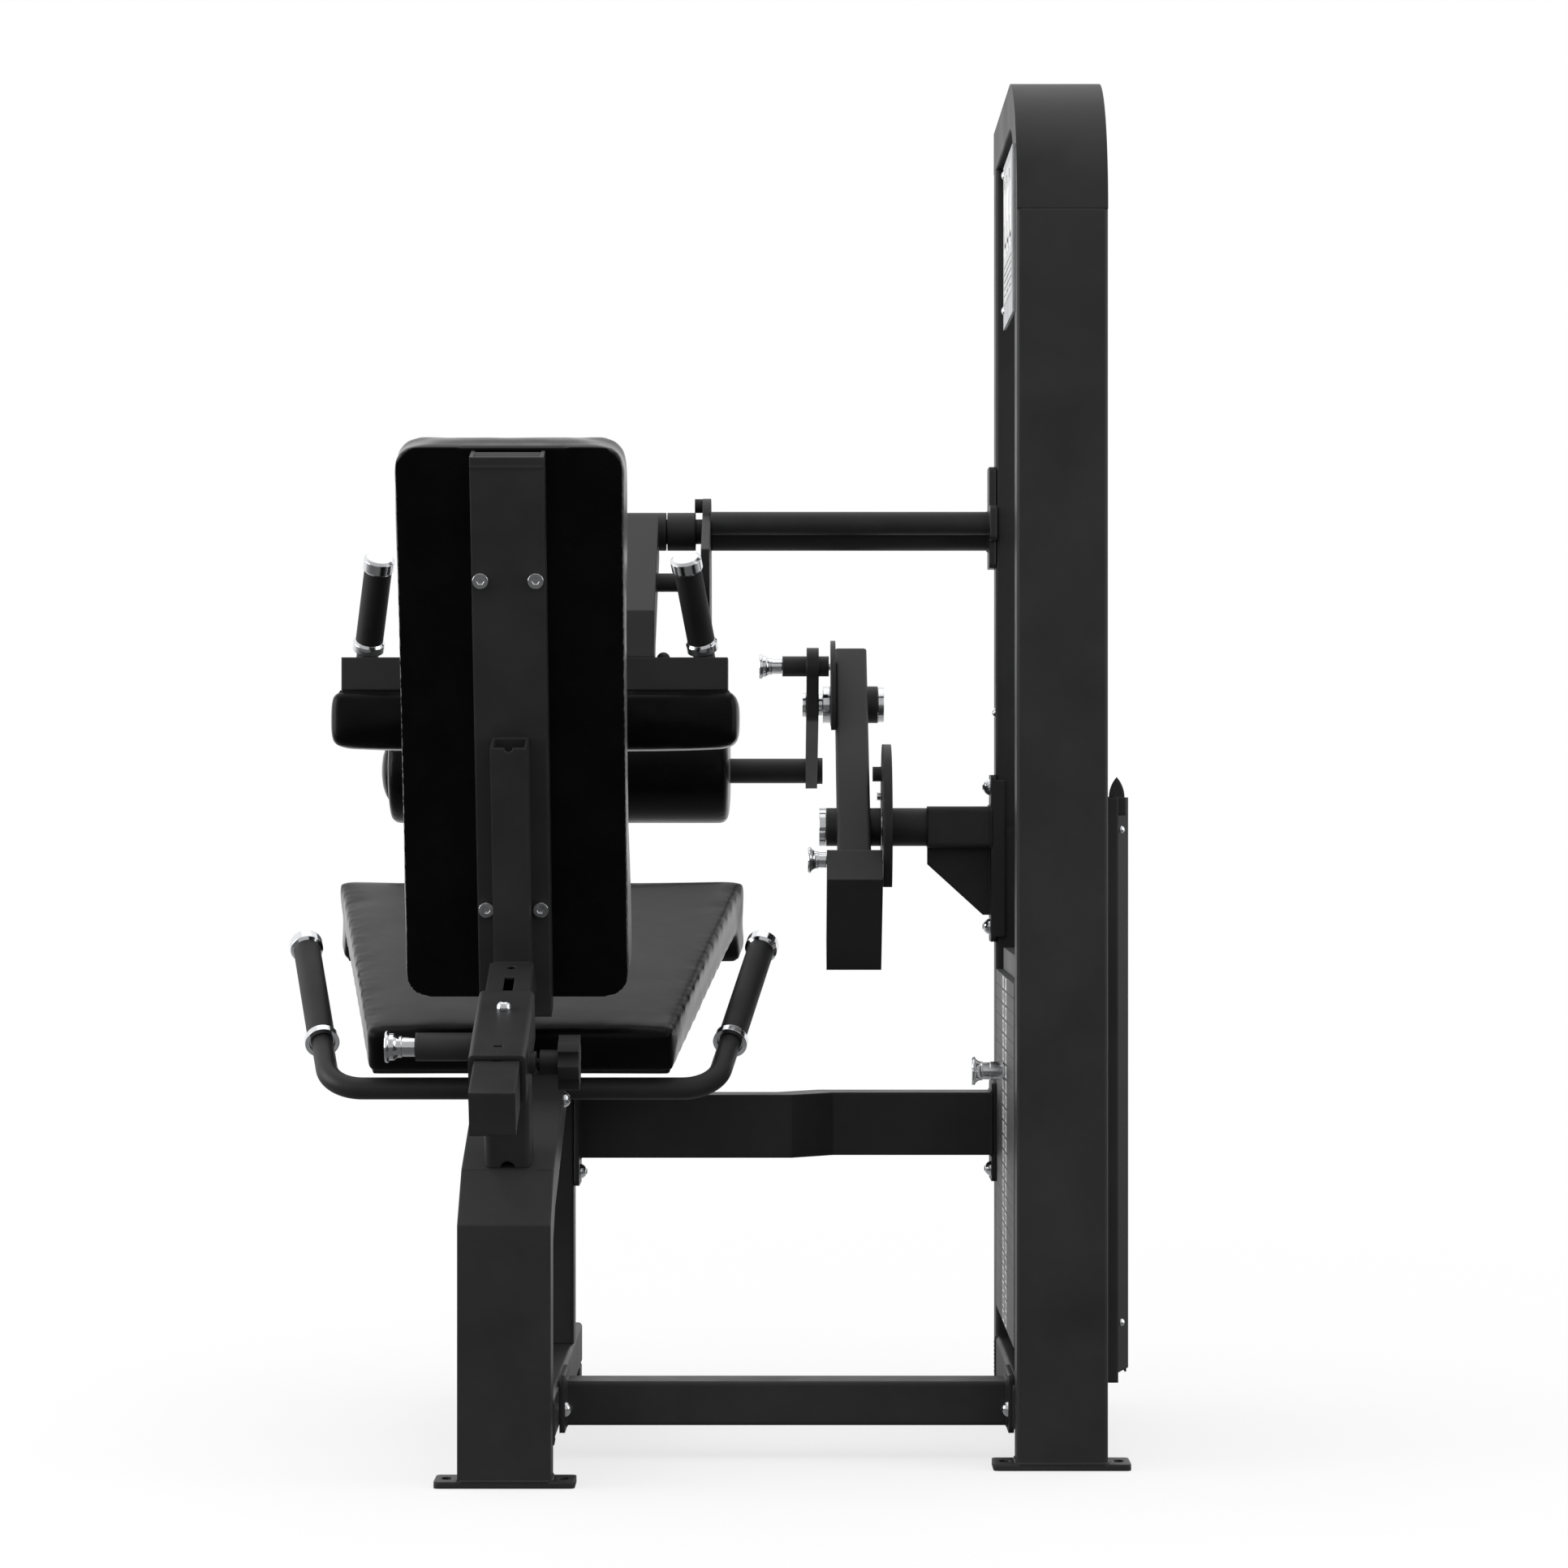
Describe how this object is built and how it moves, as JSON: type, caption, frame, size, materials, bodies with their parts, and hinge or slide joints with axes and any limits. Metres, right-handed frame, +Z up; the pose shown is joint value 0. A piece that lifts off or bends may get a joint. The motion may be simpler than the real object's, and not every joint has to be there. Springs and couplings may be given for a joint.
{
  "type": "leg extension and hamstring machine",
  "caption": "Seated leg exercise machine: padded seat and back rest on a tube frame, a thigh hold-down, a padded roller on a turning lever, and a weight stack tower.",
  "frame": {"origin": "on the floor, under the middle of the bounding box", "axes": "+X from the seat towards the weight tower, +Y the way the sitter faces, +Z up"},
  "size_m": [0.9767, 1.2728, 1.542],
  "materials": {
    "frame_paint": "satin",
    "dark_steel": "satin",
    "chrome": "polished",
    "vinyl": "satin",
    "rubber": "matte",
    "plate_paint": "matte",
    "pulley_nylon": "matte",
    "cable_cover": "satin",
    "placard_print": "satin"
  },
  "bodies": {
    "frame": {"seat_rear_post": "frame_paint", "seat_beam": "frame_paint", "seat_front_leg": "frame_paint", "seat_base_beam": "frame_paint", "seat_feet": "frame_paint", "seat_handle_bar": "frame_paint", "seat_grips": "rubber", "seat_grip_rings": "chrome", "seat_pad": "vinyl", "slide_sleeve": "frame_paint", "tower_near_upright": "frame_paint", "tower_top_tube": "frame_paint", "tower_far_upright": "frame_paint", "tower_base_beam": "frame_paint", "tower_feet": "frame_paint", "guide_rods": "chrome", "rubber_bumpers": "rubber", "resting_plates": "plate_paint", "stack_shield": "frame_paint", "placard": "placard_print", "lower_crossbeam": "frame_paint", "upper_crossbeam": "frame_paint", "frame_bolts": "chrome", "pivot_bracket": "frame_paint", "bearing_housing": "frame_paint", "hold_crossbars": "frame_paint", "hold_sector": "frame_paint", "pulley_brackets": "dark_steel", "stack_cable": "cable_cover", "drive_cable": "cable_cover"},
    "back_rest": {"back_rail": "frame_paint", "back_channel": "frame_paint", "back_pad": "vinyl", "back_bolts": "chrome"},
    "back_pin": {"back_plunger": "chrome"},
    "clamp": {"clamp_knob": "rubber"},
    "hold_down": {"hold_arm": "frame_paint", "hold_channel": "frame_paint", "hold_pad": "vinyl", "hold_grips": "rubber", "hold_grip_rings": "chrome"},
    "hold_pin": {"hold_plunger": "chrome"},
    "shaft": {"main_shaft": "chrome", "start_disc": "frame_paint", "drive_cam": "dark_steel"},
    "lever": {"lever_arm": "frame_paint", "counterweight": "frame_paint", "lever_sector": "frame_paint"},
    "start_pin": {"start_plunger": "chrome"},
    "link": {"link_pin": "chrome", "link_plate": "frame_paint", "roller_tube": "frame_paint"},
    "link_pull": {"link_plunger": "chrome"},
    "roller": {"roller_pad": "vinyl"},
    "lift": {"head_plate": "plate_paint", "selected_plates": "plate_paint"},
    "selector": {"selector_pin": "chrome"},
    "front_wheel": {"front_pulley": "pulley_nylon"},
    "rear_wheel": {"rear_pulley": "pulley_nylon"}
  },
  "joints": [
    {"name": "back_slide", "type": "slide", "parent": "frame", "child": "back_rest", "axis": [0, 0.9415, 0.3371], "range_m": [-0.065, 0.09]},
    {"name": "back_pin_pull", "type": "slide", "parent": "frame", "child": "back_pin", "axis": [-1, 0, 0], "range_m": [0, 0.012], "stiffness_N_per_m": 600},
    {"name": "clamp_turn", "type": "hinge", "parent": "frame", "child": "clamp", "pos_m": [-0.13458, -0.50216, 0.45858], "axis": [1, 0, 0], "range_deg": [0, 180]},
    {"name": "hold_tilt", "type": "hinge", "parent": "frame", "child": "hold_down", "pos_m": [-0.19458, 0.1786, 1.057], "axis": [1, 0, 0], "range_deg": [-10, 35]},
    {"name": "hold_pin_pull", "type": "slide", "parent": "hold_down", "child": "hold_pin", "axis": [-1, 0, 0], "range_m": [0, 0.012], "stiffness_N_per_m": 600},
    {"name": "main_turn", "type": "hinge", "parent": "frame", "child": "shaft", "pos_m": [0.20542, 0.17359, 0.7], "axis": [1, 0, 0], "range_deg": [-70, 0]},
    {"name": "start_adjust", "type": "hinge", "parent": "shaft", "child": "lever", "pos_m": [0.20542, 0.17359, 0.7], "axis": [1, 0, 0], "range_deg": [-20, 15]},
    {"name": "start_pin_pull", "type": "slide", "parent": "lever", "child": "start_pin", "axis": [-1, 0, 0], "range_m": [0, 0.012], "stiffness_N_per_m": 600},
    {"name": "roller_adjust", "type": "hinge", "parent": "lever", "child": "link", "pos_m": [0.15542, 0.35362, 0.85106], "axis": [1, 0, 0], "range_deg": [0, 45]},
    {"name": "link_pin_pull", "type": "slide", "parent": "link", "child": "link_pull", "axis": [-1, 0, 0], "range_m": [0, 0.012], "stiffness_N_per_m": 600},
    {"name": "roller_spin", "type": "hinge", "parent": "link", "child": "roller", "pos_m": [-0.19458, 0.56741, 0.76899], "axis": [1, 0, 0], "continuous": true},
    {"name": "stack_lift", "type": "slide", "parent": "frame", "child": "lift", "axis": [0, 0, 1], "range_m": [0, 0.16], "deforming": ["stack_cable"]},
    {"name": "selector_pull", "type": "slide", "parent": "lift", "child": "selector", "axis": [-1, 0, 0], "range_m": [0, 0.062]},
    {"name": "front_pulley_spin", "type": "hinge", "parent": "frame", "child": "front_wheel", "pos_m": [0.40942, -0.01741, 1.484], "axis": [1, 0, 0], "range_deg": [-241, 0]},
    {"name": "rear_pulley_spin", "type": "hinge", "parent": "frame", "child": "rear_wheel", "pos_m": [0.40942, 0.2656, 1.484], "axis": [1, 0, 0], "range_deg": [-241, 0]}
  ],
  "couplings": [
    {"joint": "stack_lift", "follows": "main_turn", "m_per_rad": -0.13},
    {"joint": "front_pulley_spin", "follows": "main_turn", "ratio": 3.4211},
    {"joint": "rear_pulley_spin", "follows": "main_turn", "ratio": 3.4211}
  ]
}
